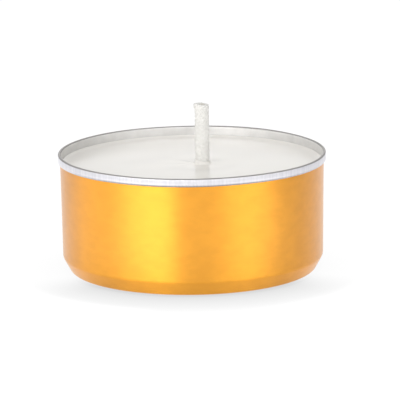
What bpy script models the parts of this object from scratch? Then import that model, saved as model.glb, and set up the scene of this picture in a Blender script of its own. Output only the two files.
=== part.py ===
"""A tealight candle: a deep-drawn aluminium cup with a hemmed rim, a wax tablet, and a cored, waxed wick
that stands in a crimped tin-plate sustainer. Metres, +Z up, origin on the cup's axis in the plane it stands on."""

import math

import bmesh
import bpy
from mathutils import Matrix, Vector

MM = 0.001

# Driving dimensions, in millimetres.
RIM_RADIUS = 19.2  # outside of the folded rim
CUP_HEIGHT = 16.95
SHEET = 0.16  # aluminium of the cup
HEM_DEPTH = 1.15  # how far the edge folds down outside the wall
HEM_CREVICE = 0.08  # open gap between the fold and the wall
WALL_TAPER = 0.2  # the wall's radius at its foot is this much smaller than at the rim
CORNER_HEIGHT = 2.05  # where the wall turns in towards the foot
FOOT_RADIUS = 17.6  # outer edge of the standing ring
FOOT_WIDTH = 1.2
FLOOR_RISE = 0.6  # the floor panel's underside above the standing ring
BEAD_RADIUS = 10.5  # middle of the stiffening bead pressed down into the floor
BEAD_WIDTH = 1.6
BEAD_DEPTH = 0.25

WAX_SURFACE = 15.3
MENISCUS_RISE = 0.3  # the wax climbs this far up the wall
MENISCUS_WIDTH = 1.1

WICK_OFFSET = Vector((1.5, -0.3))  # the wick stands a little off the cup's axis
WICK_RADIUS = 1.0
WICK_TIP = 23.9
TIP_SLOPE = 0.1  # the cut falls this much per millimetre towards +X
CORE_RADIUS = 0.4

DISC_RADIUS = 6.3
TINPLATE = 0.2
NECK_HEIGHT = 3.0

GAP = 0.3  # between pieces that touch
FINE_GAP = 0.1  # between the pieces that make up the wick
SEGMENTS = 64  # round the cup and the wax
FINE_SEGMENTS = 24  # round the wick
CUTTER_OVERRUN = 1.0

# What follows from them.
WALL_TOP = RIM_RADIUS - 1.5 * SHEET - HEM_CREVICE  # middle of the sheet
WALL_FOOT = WALL_TOP - WALL_TAPER
FLOOR_TOP = FLOOR_RISE + SHEET
WAX_BOTTOM = FLOOR_TOP + GAP
DISC_BOTTOM = FLOOR_TOP + GAP
DISC_TOP = DISC_BOTTOM + TINPLATE
WICK_BOTTOM = DISC_BOTTOM + FINE_GAP
NECK_TOP = DISC_TOP + NECK_HEIGHT
NECK_BORE = WICK_RADIUS + FINE_GAP


def clear_scene():
    for obj in list(bpy.data.objects):
        bpy.data.objects.remove(obj)


def material(name, color, roughness, metallic=0.0):
    made = bpy.data.materials.new(name)
    made.use_nodes = True
    shader = made.node_tree.nodes["Principled BSDF"]
    shader.inputs["Base Color"].default_value = (*color, 1)
    shader.inputs["Roughness"].default_value = roughness
    shader.inputs["Metallic"].default_value = metallic
    made.diffuse_color = (*color, 1)
    return made


def arc_at(before, corner, after, radius, steps):
    """Points of the round that replaces a corner of a polyline."""
    to_before = (before - corner).normalized()
    to_after = (after - corner).normalized()
    half = to_before.angle(to_after) / 2
    centre = corner + (to_before + to_after).normalized() * radius / math.sin(half)
    start = corner + to_before * radius / math.tan(half) - centre
    end = corner + to_after * radius / math.tan(half) - centre
    turn = -start.angle_signed(end)
    return [centre + Matrix.Rotation(turn * step / steps, 2) @ start for step in range(steps + 1)]


def rounded(corners):
    """A polyline of (radius, height, fillet, fillet steps), with each corner that has a fillet rounded."""
    places = [Vector(corner[:2]) for corner in corners]
    points = []
    for index, corner in enumerate(corners):
        if len(corner) == 2:
            points.append(places[index])
        else:
            points += arc_at(places[index - 1], places[index], places[index + 1], *corner[2:])
    return points


def sheet_outline(middle, thickness):
    """The outline of a bent sheet: its left side along the middle line, then its right side back."""
    sides = []
    for side in (1, -1):
        points = []
        for index, point in enumerate(middle):
            before = middle[max(index - 1, 0)]
            after = middle[min(index + 1, len(middle) - 1)]
            runs = [run.normalized() for run in (point - before, after - point) if run.length]
            along = sum(runs, Vector((0, 0))).normalized()
            stretch = 1 / along.dot(runs[0])
            normal = Vector((-along.y, along.x))
            points.append(point + normal * side * stretch * thickness / 2)
        sides.append(points)
    return sides[0] + sides[1][::-1]


def turned(name, outline, segments, offset=Vector((0, 0))):
    """A solid of revolution. An outline whose two ends lie on the axis stays open there."""
    mesh_builder = bmesh.new()
    verts = [mesh_builder.verts.new((point.x * MM, 0, point.y * MM)) for point in outline]
    on_axis = outline[0].x < SHEET / 100 and outline[-1].x < SHEET / 100
    pairs = list(zip(verts, verts[1:])) + ([] if on_axis else [(verts[-1], verts[0])])
    edges = [mesh_builder.edges.new(pair) for pair in pairs]
    bmesh.ops.spin(
        mesh_builder,
        geom=verts + edges,
        cent=(0, 0, 0),
        axis=(0, 0, 1),
        angle=math.tau,
        steps=segments,
        use_merge=True,
    )
    bmesh.ops.remove_doubles(mesh_builder, verts=mesh_builder.verts, dist=1e-7)
    bmesh.ops.recalc_face_normals(mesh_builder, faces=mesh_builder.faces)
    mesh = bpy.data.meshes.new(name)
    mesh_builder.to_mesh(mesh)
    mesh_builder.free()
    mesh.shade_smooth()
    mesh.set_sharp_from_angle(angle=math.radians(40))
    obj = bpy.data.objects.new(name, mesh)
    obj.location = (offset.x * MM, offset.y * MM, 0)
    bpy.context.scene.collection.objects.link(obj)
    return obj


def cut_askew(obj):
    """Slants the top of a wick piece, as scissors leave it."""
    for vert in obj.data.vertices:
        if vert.co.z > (WICK_TIP - WICK_RADIUS) * MM:
            vert.co.z -= TIP_SLOPE * vert.co.x


def cup():
    """Floor panel with a pressed bead, standing ring, sloping corner, tapered wall and outward hem."""
    low = SHEET / 2
    panel = FLOOR_RISE + low
    bead = panel - BEAD_DEPTH
    bead_half = BEAD_WIDTH / 2
    foot_inner = FOOT_RADIUS - FOOT_WIDTH
    top = CUP_HEIGHT - low
    fold = WALL_TOP + SHEET + HEM_CREVICE
    fold_radius = (fold - WALL_TOP) / 2 - 0.001
    middle = rounded(
        [
            (0, panel),
            (BEAD_RADIUS - bead_half, panel),
            (BEAD_RADIUS - bead_half / 2, bead),
            (BEAD_RADIUS + bead_half / 2, bead),
            (BEAD_RADIUS + bead_half, panel),
            (foot_inner - FLOOR_RISE, panel, 0.3, 2),
            (foot_inner, low, 0.2, 1),
            (FOOT_RADIUS, low, 0.45, 3),
            (WALL_FOOT, CORNER_HEIGHT, 0.9, 3),
            (WALL_TOP, top, fold_radius, 3),
            (fold, top, fold_radius, 3),
            (fold, CUP_HEIGHT - HEM_DEPTH),
        ]
    )
    outline = sheet_outline(middle, SHEET)
    obj = turned("cup", outline, SEGMENTS)
    obj.data.materials.append(material("lacquered_aluminium", (0.85, 0.42, 0.08), 0.3, 1.0))
    return obj


def wick_passage():
    """The stepped hole in the wax: it clears the wick, the sustainer's neck and its disc."""
    wick_clear = WICK_RADIUS + GAP
    neck_clear = NECK_BORE + TINPLATE + GAP
    disc_clear = DISC_RADIUS + GAP
    outline = [
        Vector((0, WAX_SURFACE + CUTTER_OVERRUN)),
        Vector((wick_clear, WAX_SURFACE + CUTTER_OVERRUN)),
        Vector((wick_clear, NECK_TOP + GAP)),
        Vector((neck_clear, NECK_TOP + GAP)),
        Vector((neck_clear, DISC_TOP + GAP)),
        Vector((disc_clear, DISC_TOP + GAP)),
        Vector((disc_clear, WAX_BOTTOM - CUTTER_OVERRUN)),
        Vector((0, WAX_BOTTOM - CUTTER_OVERRUN)),
    ]
    cutter = turned("wick_passage_cutter", outline, FINE_SEGMENTS * 2, WICK_OFFSET)
    cutter.hide_render = True
    cutter.display_type = "WIRE"
    return cutter


def wax_tablet():
    """The fuel: it fills the cup to its surface, follows the corner, and creeps up the wall at its edge."""
    clear = SHEET / 2 + GAP
    top_radius = WALL_TOP - clear
    corner_radius = WALL_FOOT - clear
    bottom_radius = FOOT_RADIUS - clear
    outline = [
        Vector((0, WAX_SURFACE)),
        Vector((top_radius - MENISCUS_WIDTH, WAX_SURFACE)),
        Vector((top_radius - MENISCUS_WIDTH / 3, WAX_SURFACE + MENISCUS_RISE / 4)),
        Vector((top_radius, WAX_SURFACE + MENISCUS_RISE)),
        Vector((corner_radius, CORNER_HEIGHT + GAP)),
        Vector((bottom_radius, WAX_BOTTOM)),
        Vector((0, WAX_BOTTOM)),
    ]
    obj = turned("wax_tablet", outline, SEGMENTS)
    obj.data.materials.append(material("paraffin", (0.93, 0.91, 0.87), 0.35))
    passage = obj.modifiers.new("wick passage", "BOOLEAN")
    passage.operation = "DIFFERENCE"
    passage.object = wick_passage()
    return obj


def wick_sustainer():
    """One stamping: a flat disc drawn up into a neck that is crimped on the wick."""
    neck_middle = NECK_BORE + TINPLATE / 2
    waist = neck_middle - FINE_GAP / 2
    middle = rounded(
        [
            (neck_middle, NECK_TOP),
            (waist, NECK_TOP - NECK_HEIGHT * 0.3),
            (neck_middle, NECK_TOP - NECK_HEIGHT * 0.6),
            (neck_middle, DISC_BOTTOM + TINPLATE / 2, 0.4, 3),
            (DISC_RADIUS, DISC_BOTTOM + TINPLATE / 2),
        ]
    )
    obj = turned("wick_sustainer", sheet_outline(middle, TINPLATE), FINE_SEGMENTS * 2, WICK_OFFSET)
    obj.data.materials.append(material("tinplate", (0.72, 0.72, 0.73), 0.35, 1.0))
    return obj


def wick_braid():
    """The braided cotton jacket, stiff with primer wax, from the disc to the trimmed tip."""
    bore = CORE_RADIUS + FINE_GAP
    middle_radius = (WICK_RADIUS + bore) / 2
    middle = [Vector((middle_radius, WICK_TIP)), Vector((middle_radius, WICK_BOTTOM))]
    outline = sheet_outline(middle, WICK_RADIUS - bore)
    obj = turned("wick_braid", outline, FINE_SEGMENTS, WICK_OFFSET)
    obj.data.materials.append(material("waxed_cotton", (0.82, 0.80, 0.76), 0.6))
    cut_askew(obj)
    return obj


def wick_core():
    """The paper core that keeps the braid upright."""
    outline = [
        Vector((0, WICK_TIP)),
        Vector((CORE_RADIUS, WICK_TIP)),
        Vector((CORE_RADIUS, WICK_BOTTOM)),
        Vector((0, WICK_BOTTOM)),
    ]
    obj = turned("wick_core", outline, FINE_SEGMENTS, WICK_OFFSET)
    obj.data.materials.append(material("core_paper", (0.85, 0.83, 0.78), 0.8))
    cut_askew(obj)
    return obj


clear_scene()
cup()
wax_tablet()
wick_sustainer()
wick_braid()
wick_core()
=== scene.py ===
"""The looks of a tealight candle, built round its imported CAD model.

The cup, wax, wick and sustainer are rebuilt as fine meshes on the CAD's own dimensions, which are read
from the frame. Lengths are in millimetres, except those of the camera and the table, which are in metres."""

import math

import bmesh
import bpy
import numpy as np
from mathutils import Matrix, Vector


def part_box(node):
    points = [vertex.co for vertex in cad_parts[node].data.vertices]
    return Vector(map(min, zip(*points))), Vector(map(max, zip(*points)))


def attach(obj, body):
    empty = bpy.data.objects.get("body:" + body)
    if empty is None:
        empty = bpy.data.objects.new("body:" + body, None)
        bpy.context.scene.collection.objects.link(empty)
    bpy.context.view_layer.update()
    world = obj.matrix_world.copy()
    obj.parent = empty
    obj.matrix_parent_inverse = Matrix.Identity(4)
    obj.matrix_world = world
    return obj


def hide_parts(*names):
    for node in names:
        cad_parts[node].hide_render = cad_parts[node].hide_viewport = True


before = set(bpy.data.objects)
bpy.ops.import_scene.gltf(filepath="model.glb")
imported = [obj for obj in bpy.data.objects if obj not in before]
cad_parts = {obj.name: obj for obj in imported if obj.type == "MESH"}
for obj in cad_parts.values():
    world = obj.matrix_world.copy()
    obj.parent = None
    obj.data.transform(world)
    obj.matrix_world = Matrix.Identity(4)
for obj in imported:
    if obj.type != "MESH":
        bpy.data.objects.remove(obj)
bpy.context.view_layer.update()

MM = 0.001
TAU = math.tau

# Dimensions read from the frame.
CUP_BOX, WAX_BOX, BRAID_BOX, SUSTAINER_BOX = (
    [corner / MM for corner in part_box(node)]
    for node in ("cup", "wax_tablet", "wick_braid", "wick_sustainer")
)
RIM_RADIUS = CUP_BOX[1].x
CUP_HEIGHT = CUP_BOX[1].z
WICK_AXIS = ((BRAID_BOX[0] + BRAID_BOX[1]) / 2).to_2d()
WICK_RADIUS = (BRAID_BOX[1].x - BRAID_BOX[0].x) / 2
WICK_BOTTOM = BRAID_BOX[0].z
WICK_TIP = BRAID_BOX[1].z
WAX_BOTTOM = WAX_BOX[0].z
DISC_RADIUS = (SUSTAINER_BOX[1].x - SUSTAINER_BOX[0].x) / 2
DISC_BOTTOM = SUSTAINER_BOX[0].z
NECK_TOP = SUSTAINER_BOX[1].z

# Dimensions repeated from the CAD script.
SHEET = 0.16
HEM_DEPTH = 1.15
HEM_CREVICE = 0.08
WALL_TAPER = 0.2
CORNER_HEIGHT = 2.05
FOOT_RADIUS = 17.6
FOOT_WIDTH = 1.2
FLOOR_RISE = 0.6
BEAD_RADIUS = 10.5
BEAD_WIDTH = 1.6
BEAD_DEPTH = 0.25
TINPLATE = 0.2
FINE_GAP = 0.1
TIP_SLOPE = 0.1
MENISCUS_RISE = 0.3
CORE_RADIUS = 0.4
WAX_SURFACE = WAX_BOX[1].z - MENISCUS_RISE
WALL_TOP = RIM_RADIUS - 1.5 * SHEET - HEM_CREVICE
WALL_FOOT = WALL_TOP - WALL_TAPER

# How finely the meshes are cut.
CUP_SEGMENTS = 960
WAX_SEGMENTS = 256
WICK_SEGMENTS = 144
DISC_SEGMENTS = 240


# ---------------------------------------------------------------- shapes


def arc_at(before, corner, after, radius, steps):
    """Points of the round that replaces a corner of a polyline."""
    to_before = (before - corner).normalized()
    to_after = (after - corner).normalized()
    half = to_before.angle(to_after) / 2
    centre = corner + (to_before + to_after).normalized() * radius / math.sin(half)
    start = corner + to_before * radius / math.tan(half) - centre
    end = corner + to_after * radius / math.tan(half) - centre
    turn = -start.angle_signed(end)
    return [centre + Matrix.Rotation(turn * step / steps, 2) @ start for step in range(steps + 1)]


def rounded(corners):
    """A polyline of (radius, height, fillet, fillet steps), with each corner that has a fillet rounded."""
    places = [Vector(corner[:2]) for corner in corners]
    points = []
    for index, corner in enumerate(corners):
        if len(corner) == 2:
            points.append(places[index])
        else:
            points += arc_at(places[index - 1], places[index], places[index + 1], *corner[2:])
    return points


def filled_in(points, spacing):
    """The same polyline with its long straight runs cut into shorter ones."""
    finer = [points[0]]
    for before, after in zip(points, points[1:]):
        steps = max(1, math.ceil((after - before).length / spacing))
        finer += [before.lerp(after, step / steps) for step in range(1, steps + 1)]
    return finer


def sheet_sides(middle, thickness):
    """The two sides of a bent sheet, left and right of its middle line, both from its start to its end."""
    sides = []
    for side in (1, -1):
        points = []
        for index, point in enumerate(middle):
            before = middle[max(index - 1, 0)]
            after = middle[min(index + 1, len(middle) - 1)]
            runs = [run.normalized() for run in (point - before, after - point) if run.length > 1e-6]
            along = sum(runs, Vector((0, 0))).normalized()
            stretch = 1 / along.dot(runs[0])
            normal = Vector((-along.y, along.x))
            points.append(point + normal * side * stretch * thickness / 2)
        sides.append(points)
    return sides


def waves(turn, height, seed, count=8, most_turns=9, height_rate=0.4):
    """Smooth irregularity from -1 to 1 or so, periodic round the axis. turn is in radians, height in mm."""
    random = np.random.default_rng(seed)
    total = np.zeros(np.broadcast(turn, height).shape)
    for _ in range(count):
        turns = random.integers(1, most_turns + 1)
        rate = random.uniform(-height_rate, height_rate)
        total = total + np.cos(turns * turn + rate * height + random.uniform(0, TAU)) / math.sqrt(turns)
    return total / math.sqrt(count)


def bump(value, width):
    """A smooth hill of height 1 round zero."""
    return np.exp(-((value / width) ** 2))


def smooth_step(value, low, high):
    """0 below low and 1 above high, with a smooth rise between."""
    share = np.clip((value - low) / (high - low), 0, 1)
    return share * share * (3 - 2 * share)


def ring(radius, height, angles, centre=(0, 0)):
    """One ring of points; radius and height may vary round it."""
    points = np.empty((len(angles), 3))
    points[:, 0] = centre[0] + radius * np.cos(angles)
    points[:, 1] = centre[1] + radius * np.sin(angles)
    points[:, 2] = height
    return points


def strip_faces(here, there, count):
    """The quads between two rings of count points, given where each ring's points begin."""
    around = np.arange(count)
    following = (around + 1) % count
    corners = [here + around, here + following, there + following, there + around]
    return np.stack(corners, 1).tolist()


def fan_faces(here, tip, count, turn):
    """The triangles that gather a ring in the point tip. turn, 1 or -1, sets which way they face."""
    around = np.arange(count)
    following = (around + 1) % count
    corners = [here + following, here + around, np.full(count, tip)]
    return np.stack(corners, 1)[:, ::turn].tolist()


def loft(name, rings, materials, slots=None, closed=True):
    """A mesh skinned over rings of equal length. A closed one joins its last ring to its first; an open one
    gathers both end rings in a point. slots gives each strip's material index."""
    count = len(rings[0])
    strips = len(rings) if closed else len(rings) - 1
    slots = slots[:strips] if slots else [0] * strips
    points = np.concatenate(rings)
    faces = []
    for strip in range(strips):
        faces += strip_faces(strip * count, (strip + 1) % len(rings) * count, count)
    if not closed:
        faces += fan_faces(0, len(points), count, 1)
        faces += fan_faces(strips * count, len(points) + 1, count, -1)
        slots = [*slots, slots[0], slots[-1]]
        points = np.concatenate([points, [rings[0].mean(0), rings[-1].mean(0)]])
    mesh = bpy.data.meshes.new(name)
    mesh.from_pydata((points * MM).tolist(), [], faces)
    mesh.polygons.foreach_set("material_index", np.repeat(slots, count).tolist())
    builder = bmesh.new()
    builder.from_mesh(mesh)
    bmesh.ops.recalc_face_normals(builder, faces=builder.faces)
    builder.to_mesh(mesh)
    builder.free()
    mesh.shade_smooth()
    for item in materials:
        mesh.materials.append(item)
    obj = bpy.data.objects.new(name, mesh)
    bpy.context.scene.collection.objects.link(obj)
    return obj


def circle_angles(count):
    """The directions of count points spaced evenly round a circle."""
    return np.arange(count) / count * TAU


# ---------------------------------------------------------------- materials

MIX_COLOURS = (6, 7)  # the Mix node's colour sockets, which share their names with those of its other types
MIX_RESULT = 2
LINES_ROUND = 0.25  # how far the brushed lines are turned: round the Z axis, or up it
LINES_UP = 0.0


class Nodes:
    """The nodes of a material or a world, called its owner, and short ways to add to them."""

    def __init__(self, owner):
        owner.use_nodes = True
        self.owner = owner
        self.tree = owner.node_tree
        self.shader = self.tree.nodes.get("Principled BSDF")

    def set(self, **values):
        """Sets the shader's inputs. A name's spaces are written as underscores."""
        for name, value in values.items():
            self.shader.inputs[name.replace("_", " ")].default_value = value

    def add(self, kind, **properties):
        """A new node of a kind, with the properties given."""
        node = self.tree.nodes.new(kind)
        for name, value in properties.items():
            setattr(node, name, value)
        return node

    def link(self, source, target):
        self.tree.links.new(source, target)

    def place(self, scale=(1, 1, 1)):
        """Position in the object's own frame, in millimetres times scale."""
        position = self.add("ShaderNodeTexCoord").outputs["Object"]
        mapping = self.add("ShaderNodeMapping")
        mapping.inputs["Scale"].default_value = [value / MM for value in scale]
        self.link(position, mapping.inputs["Vector"])
        return mapping.outputs["Vector"]

    def math(self, operation, *values):
        """The result of an operation on values, which are numbers or the outputs of other nodes."""
        node = self.add("ShaderNodeMath", operation=operation)
        for socket, value in zip(node.inputs, values):
            if isinstance(value, (int, float)):
                socket.default_value = value
            else:
                self.link(value, socket)
        return node.outputs[0]

    def polar(self, turn_scale, height_scale):
        """Coordinates that wrap round the axis, for streaks that run round or up a turned piece."""
        position = self.place()
        parts = self.add("ShaderNodeSeparateXYZ")
        self.link(position, parts.inputs[0])
        flat = self.add("ShaderNodeCombineXYZ")
        self.link(parts.outputs["X"], flat.inputs["X"])
        self.link(parts.outputs["Y"], flat.inputs["Y"])
        direction = self.add("ShaderNodeVectorMath", operation="NORMALIZE")
        self.link(flat.outputs[0], direction.inputs[0])
        turned = self.add("ShaderNodeVectorMath", operation="SCALE")
        turned.inputs["Scale"].default_value = turn_scale
        self.link(direction.outputs[0], turned.inputs[0])
        turned_parts = self.add("ShaderNodeSeparateXYZ")
        self.link(turned.outputs[0], turned_parts.inputs[0])
        joined = self.add("ShaderNodeCombineXYZ")
        self.link(turned_parts.outputs["X"], joined.inputs["X"])
        self.link(turned_parts.outputs["Y"], joined.inputs["Y"])
        self.link(self.math("MULTIPLY", parts.outputs["Z"], height_scale), joined.inputs["Z"])
        return joined.outputs[0]

    def noise(self, vector, detail=3.0, roughness=0.5):
        """Soft noise, with features about as wide as one unit of the vector."""
        node = self.add("ShaderNodeTexNoise")
        node.inputs["Scale"].default_value = 1.0
        node.inputs["Detail"].default_value = detail
        node.inputs["Roughness"].default_value = roughness
        self.link(vector, node.inputs["Vector"])
        return node.outputs["Fac"]

    def spread(self, value, low, high, out_low, out_high):
        """The value's range from low to high, stretched to run from out_low to out_high."""
        node = self.add("ShaderNodeMapRange")
        self.link(value, node.inputs["Value"])
        limits = {"From Min": low, "From Max": high, "To Min": out_low, "To Max": out_high}
        for name, number in limits.items():
            node.inputs[name].default_value = number
        return node.outputs[0]

    def vary(self, noise, out_low, out_high, reach=0.2):
        """A value that runs from out_low to out_high with a noise, which mostly stays within reach of 0.5."""
        return self.spread(noise, 0.5 - reach, 0.5 + reach, out_low, out_high)

    def step(self, value, low, high):
        """0 below low and 1 above high, with a smooth rise between."""
        node = self.add("ShaderNodeMapRange", interpolation_type="SMOOTHSTEP")
        self.link(value, node.inputs["Value"])
        node.inputs["From Min"].default_value = low
        node.inputs["From Max"].default_value = high
        return node.outputs[0]

    def blend_value(self, share, first, second):
        """The value first where share is 0 and the number second where it is 1."""
        node = self.add("ShaderNodeMix", data_type="FLOAT")
        self.link(share, node.inputs["Factor"])
        self.link(first, node.inputs["A"])
        node.inputs["B"].default_value = second
        return node.outputs["Result"]

    def blend(self, share, first, second):
        """The colour first where share is 0 and second where it is 1."""
        node = self.add("ShaderNodeMix", data_type="RGBA")
        self.link(share, node.inputs["Factor"])
        for index, colour in zip(MIX_COLOURS, (first, second)):
            if isinstance(colour, tuple):
                node.inputs[index].default_value = (*colour, 1)
            else:
                self.link(colour, node.inputs[index])
        return node.outputs[MIX_RESULT]

    def tint(self, noise, first, second, reach=0.2):
        """A colour that runs from first to second with a noise."""
        return self.blend(self.vary(noise, 0, 1, reach), first, second)

    def colour(self, colour):
        self.link(colour, self.shader.inputs["Base Color"])

    def roughness(self, noise, low, high):
        self.link(self.vary(noise, low, high), self.shader.inputs["Roughness"])

    def brushed(self, amount, turn):
        """Fine lines, turned to LINES_ROUND or LINES_UP, which draw reflections out across them."""
        self.set(Anisotropic=amount, Anisotropic_Rotation=turn)
        tangent = self.add("ShaderNodeTangent", direction_type="RADIAL", axis="Z")
        self.link(tangent.outputs[0], self.shader.inputs["Tangent"])

    def relief(self, height, strength, distance):
        """Bumps the surface by height, a value from 0 to 1 that stands for distance in millimetres."""
        node = self.add("ShaderNodeBump")
        node.inputs["Strength"].default_value = strength
        node.inputs["Distance"].default_value = distance * MM
        self.link(height, node.inputs["Height"])
        previous = self.shader.inputs["Normal"].links
        if previous:
            self.link(previous[0].from_socket, node.inputs["Normal"])
        self.link(node.outputs[0], self.shader.inputs["Normal"])


def lacquered_aluminium():
    """Orange-gold lacquer over drawn aluminium: fine lines run round the cup, with a faint mottle."""
    nodes = Nodes(bpy.data.materials.new("lacquered_aluminium"))
    nodes.set(Metallic=1.0, Coat_Weight=0.6, Coat_Roughness=0.3, Coat_IOR=1.5)
    nodes.brushed(0.9, LINES_ROUND)
    lines = nodes.noise(nodes.polar(14, 9), detail=4)
    fine_lines = nodes.noise(nodes.polar(60, 40), detail=2)
    mottle = nodes.noise(nodes.place((0.5, 0.5, 0.9)), detail=2)
    nodes.colour(nodes.tint(mottle, (0.98, 0.43, 0.03), (0.93, 0.4, 0.027), reach=0.15))
    nodes.roughness(lines, 0.4, 0.46)
    nodes.relief(lines, 0.06, 0.01)
    nodes.relief(fine_lines, 0.04, 0.006)
    return nodes.owner


CROWN_FOOT = 0.2  # the painted shade along the crown begins this far below the top of the cup, and is full at CROWN_FULL
CROWN_FULL = 0.1


def crown_painted_shade(nodes, tint):
    """The tint, darkened by painted shade along the crown of the fold."""
    parts = nodes.add("ShaderNodeSeparateXYZ")
    nodes.link(nodes.place(), parts.inputs[0])
    crown = nodes.step(parts.outputs["Z"], CUP_HEIGHT - CROWN_FOOT, CUP_HEIGHT - CROWN_FULL)
    # painted shade: this darker colour stands in for the shading on the top of the fold
    return nodes.blend(crown, tint, (0.4, 0.385, 0.375))


def bare_aluminium():
    """The unlacquered side of the sheet, where it shows on the outside as the folded edge."""
    nodes = Nodes(bpy.data.materials.new("bare_aluminium"))
    nodes.set(Metallic=1.0)
    nodes.brushed(0.8, LINES_UP)
    lines = nodes.noise(nodes.polar(60, 0.3), detail=2)
    tint = nodes.tint(lines, (0.63, 0.63, 0.67), (0.74, 0.73, 0.76))
    # painted shade along the crown of the fold
    nodes.colour(crown_painted_shade(nodes, tint))
    nodes.roughness(lines, 0.34, 0.44)
    nodes.relief(lines, 0.06, 0.01)
    return nodes.owner


def waxed_aluminium():
    """The unlacquered side of the sheet inside the cup, under the film that the poured wax left on it."""
    nodes = Nodes(bpy.data.materials.new("waxed_aluminium"))
    nodes.set(Metallic=0.6, Specular_IOR_Level=0.3)
    nodes.brushed(0.9, LINES_UP)
    lines = nodes.noise(nodes.polar(60, 0.3), detail=2)
    mottle = nodes.noise(nodes.place((0.8, 0.8, 0.8)))
    tint = nodes.tint(mottle, (0.76, 0.75, 0.735), (0.7, 0.69, 0.675))
    # painted shade along the crown of the fold
    nodes.colour(crown_painted_shade(nodes, tint))
    nodes.roughness(lines, 0.36, 0.46)
    nodes.relief(lines, 0.06, 0.01)
    return nodes.owner


def paraffin():
    """White paraffin, translucent and softly glossy, with the faint bloom of cooled wax."""
    nodes = Nodes(bpy.data.materials.new("paraffin"))
    nodes.set(IOR=1.44, Specular_IOR_Level=0.2)
    nodes.set(Subsurface_Weight=0.15, Subsurface_Scale=0.8 * MM, Subsurface_Radius=(1.0, 0.95, 0.85))
    bloom = nodes.noise(nodes.place((0.35, 0.35, 0.35)), detail=4, roughness=0.6)
    nodes.colour(nodes.tint(bloom, (0.9, 0.875, 0.83), (0.88, 0.855, 0.805)))
    nodes.roughness(bloom, 0.14, 0.2)
    nodes.relief(bloom, 0.1, 0.02)
    return nodes.owner


def waxed_cotton():
    """Braided cotton soaked in primer wax."""
    nodes = Nodes(bpy.data.materials.new("waxed_cotton"))
    nodes.set(IOR=1.45, Sheen_Weight=0.1)
    fibres = nodes.noise(nodes.place((7, 7, 1.5)), detail=2)
    patches = nodes.noise(nodes.place((1.5, 1.5, 0.8)), detail=2)
    nodes.colour(nodes.tint(patches, (0.77, 0.76, 0.73), (0.73, 0.72, 0.69)))
    nodes.roughness(fibres, 0.4, 0.62)
    nodes.relief(fibres, 0.05, 0.02)
    return nodes.owner


def core_paper():
    """Rough twisted paper, soaked through."""
    nodes = Nodes(bpy.data.materials.new("core_paper"))
    nodes.set(Roughness=0.85)
    fibres = nodes.noise(nodes.place((6, 6, 2)), detail=5, roughness=0.7)
    nodes.colour(nodes.tint(fibres, (0.82, 0.79, 0.72), (0.7, 0.67, 0.6)))
    nodes.relief(fibres, 0.4, 0.03)
    return nodes.owner


def tinplate():
    """Rolled tin plate, with the faint pattern of its tin crystals."""
    nodes = Nodes(bpy.data.materials.new("tinplate"))
    nodes.set(Metallic=1.0)
    rolled = nodes.noise(nodes.place((0.3, 12, 0.3)), detail=4)
    crystals = nodes.noise(nodes.place((1.2, 1.2, 1.2)))
    nodes.colour(nodes.tint(crystals, (0.74, 0.74, 0.75), (0.64, 0.64, 0.66)))
    nodes.roughness(rolled, 0.25, 0.42)
    nodes.relief(rolled, 0.15, 0.01)
    return nodes.owner


# ---------------------------------------------------------------- cup

# The rounds between the straight runs of the cup's middle line.
BEAD_FILLET = 0.3
PANEL_FILLET = 0.35
FOOT_INNER_FILLET = 0.2
FOOT_OUTER_FILLET = 0.45
CORNER_FILLET = 0.9
CUP_RUN = 0.6  # the longest straight piece that is left uncut

# How far the sheet strays from a perfect turned shape.
RIM_WAVE = 0.035
WALL_WAVE = 0.022
FLOOR_WAVE = 0.03
RIM_REACH = 3.0  # how far below the top the rim's wave begins
CREASES = ((62, 0.05), (38, 0.04), (141, 0.03), (203, 0.04), (318, 0.03))  # degrees round, depth
CREASE_WIDTH = 0.18
PLEATS = 240  # fine pleats that the folding tool leaves in the hem
PLEAT_DEPTH = 0.022
PLEATS_INSIDE = 0.3  # the share of their depth that shows on the hem's hidden side
FRONT = 1.5 * math.pi  # the direction of the cup's front, -Y
LACQUERED, BARE, WAXED = 0, 1, 2  # the cup's material slots


def cup_middle():
    """The middle line of the cup's sheet, from the axis out along the floor, up the wall and over the hem."""
    low = SHEET / 2
    panel = FLOOR_RISE + low
    bead = panel - BEAD_DEPTH
    bead_half = BEAD_WIDTH / 2
    foot_inner = FOOT_RADIUS - FOOT_WIDTH
    top = CUP_HEIGHT - low
    fold = WALL_TOP + SHEET + HEM_CREVICE
    fold_radius = (fold - WALL_TOP) / 2 - 0.001  # a hair short of half, so that the fold's rounds don't meet
    return rounded(
        [
            (0.05, panel),
            (BEAD_RADIUS - bead_half, panel, BEAD_FILLET, 3),
            (BEAD_RADIUS - bead_half / 2, bead, BEAD_FILLET, 3),
            (BEAD_RADIUS + bead_half / 2, bead, BEAD_FILLET, 3),
            (BEAD_RADIUS + bead_half, panel, BEAD_FILLET, 3),
            (foot_inner - FLOOR_RISE, panel, PANEL_FILLET, 4),
            (foot_inner, low, FOOT_INNER_FILLET, 4),
            (FOOT_RADIUS, low, FOOT_OUTER_FILLET, 6),
            (WALL_FOOT, CORNER_HEIGHT, CORNER_FILLET, 8),
            (WALL_TOP, top, fold_radius, 6),
            (fold, top, fold_radius, 6),
            (fold, CUP_HEIGHT - HEM_DEPTH),
        ]
    )


def creases(angles):
    """The depth of the small dents round the wall above the wax."""
    depths = 0
    for degrees, depth in CREASES:
        away = (angles - math.radians(degrees) + math.pi) % TAU - math.pi
        depths = depths + depth * bump(away * RIM_RADIUS, CREASE_WIDTH)
    return depths


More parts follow.
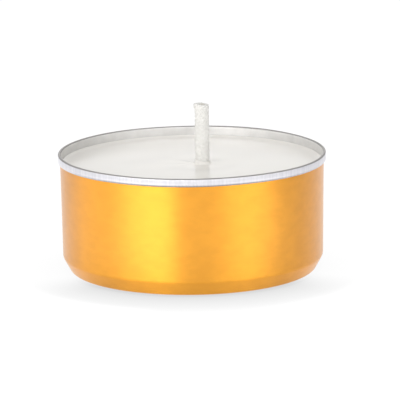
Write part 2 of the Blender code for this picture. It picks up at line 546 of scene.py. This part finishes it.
def cup_shifts(radius, height, angles):
    """How far the sheet strays from its turned shape at one ring: outward and upward."""
    on_floor = smooth_step(-radius, -FOOT_RADIUS + FOOT_WIDTH + 1, -BEAD_RADIUS)
    on_wall = smooth_step(height, CORNER_HEIGHT, CORNER_HEIGHT + 3)
    above_wax = smooth_step(height, WAX_SURFACE + MENISCUS_RISE, CUP_HEIGHT - 0.3)
    near_rim = smooth_step(height, CUP_HEIGHT - RIM_REACH, CUP_HEIGHT)
    outward = on_wall * WALL_WAVE * waves(angles, height, 11)
    outward = outward + near_rim * RIM_WAVE * waves(angles, 0, 12, most_turns=5)
    outward = outward - above_wax * creases(angles)
    upward = near_rim * RIM_WAVE * waves(angles, 0, 13, most_turns=6)
    upward = upward + on_floor * FLOOR_WAVE * waves(angles, radius, 14, most_turns=4)
    return outward, upward


def pleats(angles):
    """The depth of the hem's pleats round the rim: they come and go, and are deepest in front."""
    strength = 0.35 + 0.65 * smooth_step(waves(angles, 0, 21, most_turns=14), -0.2, 0.9)
    at_front = bump((angles - FRONT) * RIM_RADIUS, 3.0)
    return PLEAT_DEPTH * np.maximum(strength * 0.5, at_front) * np.cos(PLEATS * angles)


def cup_slot(facing_in, above_wall):
    """The material slot of a strip of the cup. The sheet's inner face turns outward where it is folded."""
    if not facing_in:
        return LACQUERED
    return BARE if above_wall else WAXED


def cup():
    """The drawn cup: its sheet's inner face from the axis to the hem's edge, then the outer face back."""
    middle = filled_in(cup_middle(), CUP_RUN)
    inside, outside = sheet_sides(middle, SHEET)
    onward = range(len(middle))
    angles = circle_angles(CUP_SEGMENTS)
    on_wall = [index for index, point in enumerate(middle) if point.x < WALL_TOP + 0.01]
    hem_start = on_wall[-1]
    rings = []
    slots = []
    for facing_in, side, indices in ((True, inside, onward), (False, outside, reversed(onward))):
        for index in indices:
            outward, upward = cup_shifts(middle[index].x, middle[index].y, angles)
            if index > hem_start:
                share = smooth_step(index, hem_start, onward[-1])
                outward = outward + pleats(angles) * share * (1 if facing_in else PLEATS_INSIDE)
            rings.append(ring(side[index].x + outward, side[index].y + upward, angles))
            slots.append(cup_slot(facing_in, index >= hem_start))
    materials = [lacquered_aluminium(), bare_aluminium(), waxed_aluminium()]
    obj = loft("cup_shell", rings, materials, slots, closed=False)
    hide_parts("cup")
    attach(obj, "cup")


# ---------------------------------------------------------------- wax

WAX_CLEAR = 0.06  # between the wax and the metal or the wick
WAX_WAVE = 0.02
MENISCUS_WIDTH = 0.42
COLLAR_RISE = 0.8  # the wax climbs this far up the wick
COLLAR_WIDTH = 0.1
DISH_DEPTH = 0.06  # the wax sinks this much round the wick as it sets
DISH_RADIUS = 3.5
DISH_WIDTH = 2.0

# Circles that the wax is skinned between: centre x, centre y, radius.
WICK_HOLE = (*WICK_AXIS, WICK_RADIUS + WAX_CLEAR)
NECK_HOLE = (*WICK_AXIS, WICK_RADIUS + FINE_GAP + TINPLATE + WAX_CLEAR * 2)
DISC_HOLE = (*WICK_AXIS, DISC_RADIUS + WAX_CLEAR * 2)
WAX_TOP_EDGE = (0, 0, WALL_TOP - SHEET / 2 - WAX_CLEAR)
WAX_CORNER_EDGE = (0, 0, WALL_FOOT - SHEET / 2 - WAX_CLEAR - 0.05)
WAX_FOOT_EDGE = (0, 0, FOOT_RADIUS - 0.3)

# How many rings each stretch of the wax has.
TOP_RINGS = 140
CROWDING = 1.6  # how much they gather at the top's two edges
SIDE_RINGS = 48
EDGE_RINGS = 8


def collar(x, y):
    """What the wick adds to the wax's height at x, y: a climb, highest on its -X side, in a shallow dish."""
    x, y = x - WICK_AXIS.x, y - WICK_AXIS.y
    from_wick = np.hypot(x, y)
    angle = np.arctan2(y, x)
    leftwards = 0.5 - 0.5 * np.cos(angle)
    rise = COLLAR_RISE * (0.7 + 0.6 * leftwards + 0.15 * np.cos(3 * angle + 1))
    climb = rise * np.exp(-np.maximum(from_wick - WICK_RADIUS, 0) / COLLAR_WIDTH)
    return climb - DISH_DEPTH * bump(from_wick - DISH_RADIUS, DISH_WIDTH)


def wax_height(x, y):
    """Height of the wax's top over the point x, y."""
    from_axis = np.hypot(x, y)
    height = WAX_SURFACE + MENISCUS_RISE * np.exp((from_axis - WAX_TOP_EDGE[2]) / MENISCUS_WIDTH)
    uneven = waves(np.arctan2(y, x), from_axis, 31, count=12, most_turns=6, height_rate=0.7)
    return height + collar(x, y) + WAX_WAVE * uneven


def between(inner, outer, share, angles):
    """A ring between two circles of different centres: each is (centre x, centre y, radius)."""
    x, y, radius = (inner[i] + (outer[i] - inner[i]) * share for i in range(3))
    return ring(radius, 0, angles, (x, y))


def wax_top(angles):
    """The wax's top from the wick out. Its rings lie closest at both edges, where the top curves most."""
    rings = []
    for step in range(TOP_RINGS + 1):
        share = (step / TOP_RINGS) ** CROWDING
        share = share + (1 - (1 - share) ** CROWDING - share) * share
        level = between(WICK_HOLE, WAX_TOP_EDGE, share, angles)
        level[:, 2] = wax_height(level[:, 0], level[:, 1])
        rings.append(level)
    return rings


def wax_side(rim_height, angles):
    """The wax against the wall, from its top down to the corner, then round the corner to its bottom."""
    rings = []
    for step in range(1, SIDE_RINGS + 1):
        share = step / SIDE_RINGS
        level = between(WAX_TOP_EDGE, WAX_CORNER_EDGE, share, angles)
        level[:, 2] = rim_height + (CORNER_HEIGHT - rim_height) * share
        rings.append(level)
    for step in range(1, EDGE_RINGS + 1):
        turn = step / EDGE_RINGS * math.pi / 2
        level = between(WAX_CORNER_EDGE, WAX_FOOT_EDGE, 1 - math.cos(turn), angles)
        level[:, 2] = CORNER_HEIGHT - (CORNER_HEIGHT - WAX_BOTTOM) * math.sin(turn)
        rings.append(level)
    return rings


def wax_under(angles):
    """The wax's bottom, the recess for the sustainer's disc and neck, and the hole for the wick."""
    disc_ceiling = DISC_BOTTOM + TINPLATE + WAX_CLEAR * 2
    neck_ceiling = NECK_TOP + 0.1
    hole_foot = NECK_TOP + 0.25
    rings = []
    for start, end, low, high, steps in (
        (WAX_FOOT_EDGE, DISC_HOLE, WAX_BOTTOM, WAX_BOTTOM, 30),
        (DISC_HOLE, DISC_HOLE, WAX_BOTTOM, disc_ceiling, 3),
        (DISC_HOLE, NECK_HOLE, disc_ceiling, disc_ceiling, 12),
        (NECK_HOLE, NECK_HOLE, disc_ceiling, neck_ceiling, 8),
        (NECK_HOLE, WICK_HOLE, neck_ceiling, hole_foot, 3),
        (WICK_HOLE, WICK_HOLE, hole_foot, WAX_SURFACE, 20),
    ):
        for step in range(1, steps + 1):
            level = between(start, end, step / steps, angles)
            level[:, 2] = low + (high - low) * step / steps
            rings.append(level)
    return rings


def wax():
    """The poured wax: its top, its side and its underside."""
    angles = circle_angles(WAX_SEGMENTS)
    rings = wax_top(angles)
    rings += wax_side(rings[-1][:, 2], angles)
    rings += wax_under(angles)
    obj = loft("wax_fill", rings, [paraffin()])
    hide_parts("wax_tablet")
    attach(obj, "wax")


# ---------------------------------------------------------------- wick

STRANDS = 8  # in each direction of the braid
BRAID_PITCH = 5.2
BRAID_DEPTH = 0.07
BRAID_WAVE = 0.015
BRAID_BORE = CORE_RADIUS + 0.06
JACKET_TOP = WICK_TIP - 0.35  # the jacket's outside ends here and its cut end begins
JACKET_STEP = 0.075
TUFT = 0.16  # how far the frayed end leans out to -X
TUFT_WIDTH = 0.7
FLARE = 0.03  # how far the end spreads all round
TIP_RINGS = 8
TIP_SHRINK = 0.12  # the share of its radius that the end rounds off by
TIP_DROP = 0.1

CORE_SEGMENTS = 48
CORE_RINGS = 160
CORE_TOP = WICK_TIP - 0.12
CORE_TURN = 2.2  # the core's grooves wind once round in three times this height
CORE_GROOVE = 0.05

NECK_MIDDLE = WICK_RADIUS + FINE_GAP + TINPLATE / 2
DISC_MIDDLE = DISC_BOTTOM + TINPLATE / 2
NECK_FILLET = 0.4
DISC_RUN = 0.12
CRIMPS = 3  # round the neck
CRIMP_DEPTH = 0.055
CRIMP_HEIGHT = 0.55
CRIMP_WIDTH = 0.45
RIB_HEIGHT = 0.035  # a low ring pressed in the disc
RIB_WIDTH = 0.28


def braid_relief(angle, height):
    """Plaited strands: two crossing helices that pass over each other in turn. From 0 to 1."""
    lay = TAU * height / BRAID_PITCH
    right, left = STRANDS * (angle + lay), STRANDS * (angle - lay)
    over = smooth_step(np.cos(right / 2) * np.cos(left / 2), -0.25, 0.25)
    right_crown = 0.5 + 0.5 * np.cos(right)
    left_crown = 0.5 + 0.5 * np.cos(left)
    return over * right_crown + (1 - over) * left_crown


def jacket_radius(angles, height):
    """The braid's radius at a height. It spreads towards the tip, with a tuft that leans to -X."""
    near_tip = smooth_step(height, WICK_TIP - 1.3, WICK_TIP - 0.3)
    tuft = TUFT * near_tip * bump((angles - math.pi) * WICK_RADIUS, TUFT_WIDTH)
    woven = BRAID_DEPTH * (1 - braid_relief(angles, height))
    radius = WICK_RADIUS + 0.04 - woven + FLARE * near_tip + tuft
    return radius + BRAID_WAVE * waves(angles, height, 42, most_turns=3, height_rate=0.9)


def cut_height(x, y):
    """The wick's trimmed end: a slanting, slightly ragged cut. x and y are from the wick's axis."""
    cut = WICK_TIP - TIP_SLOPE * (x + WICK_RADIUS)
    ragged = 0.07 * waves(np.arctan2(y, x), np.hypot(x, y) * 3, 41, count=10, most_turns=11)
    return cut + ragged


def cut_ring(radius, angles):
    """A ring of the wick's trimmed end, still round the axis, and the height of the cut at its points."""
    level = ring(radius, 0, angles)
    return level, cut_height(level[:, 0], level[:, 1])


def wick_end(radius, start, angles):
    """The jacket from its outside, at the height start, over the cut end and in to its bore."""
    rings = []
    for step in range(1, TIP_RINGS + 1):
        share = step / TIP_RINGS
        shrunk = radius * (1 - TIP_SHRINK * share**2)
        level, full = cut_ring(shrunk, angles)
        if step == 1:
            level[:, 2] = start + (full - start) * share
        else:
            level[:, 2] = full - TIP_DROP * (1 - share)
        rings.append(level)
    for share in (0.2, 0.4, 0.6, 0.8, 1.0):
        level, full = cut_ring(shrunk + (BRAID_BORE - shrunk) * share, angles)
        level[:, 2] = full - 0.05 * share
        rings.append(level)
    for level in rings:
        level[:, :2] += WICK_AXIS
    return rings


def braid():
    """The wick's jacket: up its outside, over the cut end and down its bore."""
    angles = circle_angles(WICK_SEGMENTS)
    rings = []
    for height in np.arange(WICK_BOTTOM, JACKET_TOP, JACKET_STEP):
        radius = jacket_radius(angles, height)
        rings.append(ring(radius, height, angles, WICK_AXIS))
    rings += wick_end(radius, height, angles)
    for height in np.linspace(WICK_TIP - 0.6, WICK_BOTTOM, 24):
        rings.append(ring(BRAID_BORE, height, angles, WICK_AXIS))
    obj = loft("wick_jacket", rings, [waxed_cotton()])
    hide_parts("wick_braid")
    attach(obj, "wick")


def core():
    """The twisted paper inside the jacket, with its three shallow grooves."""
    angles = circle_angles(CORE_SEGMENTS)
    rings = []
    for height in np.linspace(WICK_BOTTOM, CORE_TOP, CORE_RINGS):
        twist = 0.5 + 0.5 * np.cos(3 * angles + TAU * height / CORE_TURN)
        rings.append(ring(CORE_RADIUS - CORE_GROOVE * twist**3, height, angles, WICK_AXIS))
    for share in (0.7, 0.4, 0.15):
        rings.append(ring(CORE_RADIUS * share, CORE_TOP - 0.03 * (1 - share), angles, WICK_AXIS))
    obj = loft("wick_paper_core", rings, [core_paper()], closed=False)
    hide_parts("wick_core")
    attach(obj, "wick")


def crimps(angles):
    """Where the neck is pinched round the wick, from 0 to 1."""
    dents = 0
    for crimp in range(CRIMPS):
        away = (angles - crimp * TAU / CRIMPS + math.pi) % TAU - math.pi
        dents = dents + bump(away * NECK_MIDDLE, CRIMP_WIDTH)
    return dents


def sustainer():
    """The stamped foot of the wick: a flat disc drawn up into a crimped neck."""
    corners = [
        (NECK_MIDDLE, NECK_TOP),
        (NECK_MIDDLE, DISC_MIDDLE, NECK_FILLET, 8),
        (DISC_RADIUS - 0.03, DISC_MIDDLE),
    ]
    neck_height = NECK_TOP - DISC_BOTTOM - TINPLATE
    crimp_middle = DISC_BOTTOM + TINPLATE + neck_height * 0.62
    angles = circle_angles(DISC_SEGMENTS)
    outside, inside = sheet_sides(filled_in(rounded(corners), DISC_RUN), TINPLATE)
    rings = []
    for point in outside + inside[::-1]:
        neck = smooth_step(point.y, DISC_MIDDLE + 0.6, DISC_MIDDLE + 1.0)
        pinch = CRIMP_DEPTH * bump(point.y - crimp_middle, CRIMP_HEIGHT) * neck * crimps(angles)
        rib = RIB_HEIGHT * bump(point.x - DISC_RADIUS * 0.62, RIB_WIDTH) * (1 - neck)
        rings.append(ring(point.x - pinch, point.y + rib, angles, WICK_AXIS))
    obj = loft("sustainer_disc", rings, [tinplate()])
    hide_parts("wick_sustainer")
    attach(obj, "wick")


# ---------------------------------------------------------------- studio

CAMERA_DISTANCE = 0.5
CAMERA_ELEVATION = math.radians(12.39)
CAMERA_ROLL = math.radians(-0.745)
CAMERA_LENS = 312.2
CAMERA_TARGET = Vector((0, 0, 0.008))
CAMERA_SLIDE = (0.00106, 0.00173)  # right and up, which sets where the object stands in the frame


def camera():
    """A long lens in front of the object, a little above it."""
    data = bpy.data.cameras.new("camera")
    data.lens = CAMERA_LENS
    data.clip_start = 0.01
    obj = bpy.data.objects.new("camera", data)
    bpy.context.scene.collection.objects.link(obj)
    turn = Matrix.Rotation(math.pi / 2 - CAMERA_ELEVATION, 4, "X") @ Matrix.Rotation(CAMERA_ROLL, 4, "Z")
    back = turn @ Vector((0, 0, CAMERA_DISTANCE))
    slide = turn @ Vector((*CAMERA_SLIDE, 0))
    obj.matrix_world = Matrix.Translation(CAMERA_TARGET + back + slide) @ turn
    bpy.context.scene.camera = obj


# Soft panels of light stand in a ring round the object. Each has the azimuth where it begins and the width
# of that edge, the azimuth where it ends and the width of that edge, and its radiance. Azimuths are in
# degrees: 0 is the camera's side and 90 its right.
KEY_PANEL = (-55, 50, -15, 12, 7.3)
FILL_PANEL = (28, 30, 68, 36, 4.4)
LEFT_PANEL = (-115, 20, -55, 50, 1.6)
RIGHT_PANEL = (68, 36, 100, 20, 0.2)
FRONT_PANEL = (-15, 12, 28, 30, 1.5)
PANELS = (KEY_PANEL, FILL_PANEL, LEFT_PANEL, RIGHT_PANEL, FRONT_PANEL)
PANEL_FOOT = 1.0  # degrees above the horizon
PANEL_TOP = 15.0
PANEL_EDGE = 8.0
BACKDROP = 1.1
BACKDROP_SIDE = 160.0  # it reaches from behind the object to this azimuth on both sides
BACKDROP_SIDE_EDGE = 20.0
BACKDROP_TOP = 30.0  # degrees above the horizon
BACKDROP_TOP_EDGE = 8.0
CEILING = 0.75

# The table glows evenly, less in the object's shade and more in the pool of light from the panels.
TABLE_SIZE = 4.0  # metres
TABLE_GLOW = 1.03
SHADE_REACH = 13.0  # how far from the foot the table is in its shade
SHADE_DEPTH = 0.33
SHADE_FULL = 0.4  # the share of open sky at which the shade is at its deepest
SHADE_SIDE = 60.0  # the backdrop's light throws it forward, as far as this azimuth on both sides
SHADE_SIDE_EDGE = 30.0
SHADE_BEYOND = 0.2  # the share of it that is left past them
POOL_START = 31.0  # the pool is a ring; its edges are this far from the middle of the table
POOL_START_EDGE = 14.0
POOL_END = 85.0
POOL_END_EDGE = 50.0
POOL_SHARE = 0.14  # of a panel's radiance


def heading(nodes, position):
    """The azimuth of a position, in degrees, and its height."""
    parts = nodes.add("ShaderNodeSeparateXYZ")
    nodes.link(position, parts.inputs[0])
    towards = nodes.math("MULTIPLY", parts.outputs["Y"], -1.0)
    azimuth = nodes.math("DEGREES", nodes.math("ARCTAN2", parts.outputs["X"], towards))
    return azimuth, parts.outputs["Z"]


def edge(nodes, value, middle, width):
    """0 before an edge and 1 beyond it."""
    return nodes.step(value, middle - width / 2, middle + width / 2)


def panel_light(nodes, azimuth):
    """How bright the panel is that stands at an azimuth."""
    light = 0.0
    for begin, begin_edge, end, end_edge, radiance in PANELS:
        begun = edge(nodes, azimuth, begin, begin_edge)
        ended = edge(nodes, azimuth, end, end_edge)
        light = nodes.math("MULTIPLY_ADD", nodes.math("SUBTRACT", begun, ended), radiance, light)
    return light


def table_shade(nodes, azimuth):
    """How much darker the table is where the object keeps light from it."""
    open_sky = nodes.add("ShaderNodeAmbientOcclusion", samples=16)
    open_sky.inputs["Distance"].default_value = SHADE_REACH * MM
    shade = nodes.spread(open_sky.outputs["AO"], SHADE_FULL, 1.0, SHADE_DEPTH, 0.0)
    beyond = edge(nodes, nodes.math("ABSOLUTE", azimuth), SHADE_SIDE, SHADE_SIDE_EDGE)
    return nodes.math("MULTIPLY", shade, nodes.spread(beyond, 0.0, 1.0, 1.0, SHADE_BEYOND))


def table_pool(nodes, place, azimuth):
    """How much brighter the table is where the panels pour light on it, in a ring round the object."""
    length = nodes.add("ShaderNodeVectorMath", operation="LENGTH")
    nodes.link(place, length.inputs[0])
    from_middle = length.outputs["Value"]
    begun = edge(nodes, from_middle, POOL_START * MM, POOL_START_EDGE * MM)
    ended = edge(nodes, from_middle, POOL_END * MM, POOL_END_EDGE * MM)
    pool = nodes.math("MULTIPLY", panel_light(nodes, azimuth), nodes.math("SUBTRACT", begun, ended))
    return nodes.math("MULTIPLY", pool, POOL_SHARE)


def floor():
    """The white table, which gives its own light, so that it looks the same however the object is lit."""
    bpy.ops.mesh.primitive_plane_add(size=TABLE_SIZE)
    obj = bpy.context.object
    obj.name = "floor"
    nodes = Nodes(bpy.data.materials.new("lit_table"))
    nodes.set(Roughness=1.0, Specular_IOR_Level=0.0, Base_Color=(0, 0, 0, 1), Emission_Color=(1, 1, 1, 1))
    place = nodes.add("ShaderNodeNewGeometry").outputs["Position"]
    azimuth, _ = heading(nodes, place)
    glow = nodes.math("SUBTRACT", TABLE_GLOW, table_shade(nodes, azimuth))
    glow = nodes.math("ADD", glow, table_pool(nodes, place, azimuth))
    nodes.link(glow, nodes.shader.inputs["Emission Strength"])
    obj.data.materials.append(nodes.owner)


def studio():
    """The panels, a backdrop behind the object and a ceiling over it. The camera itself sees plain white."""
    nodes = Nodes(bpy.data.worlds.new("studio"))
    azimuth, height = heading(nodes, nodes.add("ShaderNodeTexCoord").outputs["Generated"])
    elevation = nodes.math("DEGREES", nodes.math("ARCSINE", height))
    above_foot = edge(nodes, elevation, PANEL_FOOT, PANEL_EDGE)
    above_top = edge(nodes, elevation, PANEL_TOP, PANEL_EDGE)
    in_ring = nodes.math("SUBTRACT", above_foot, above_top)
    light = nodes.math("MULTIPLY", panel_light(nodes, azimuth), in_ring)
    behind = edge(nodes, nodes.math("ABSOLUTE", azimuth), BACKDROP_SIDE, BACKDROP_SIDE_EDGE)
    over_backdrop = edge(nodes, elevation, BACKDROP_TOP, BACKDROP_TOP_EDGE)
    backdrop = nodes.math("MULTIPLY", behind, nodes.math("SUBTRACT", 1.0, over_backdrop))
    light = nodes.math("MULTIPLY_ADD", backdrop, BACKDROP, light)
    light = nodes.math("MULTIPLY_ADD", above_top, CEILING, light)
    camera_ray = nodes.add("ShaderNodeLightPath").outputs["Is Camera Ray"]
    background = nodes.tree.nodes["Background"]
    background.inputs["Color"].default_value = (1, 1, 1, 1)
    nodes.link(nodes.blend_value(camera_ray, light, 1.0), background.inputs["Strength"])
    bpy.context.scene.world = nodes.owner
    bpy.context.scene.view_settings.view_transform = "Standard"


camera()
cup()
wax()
braid()
core()
sustainer()
floor()
studio()
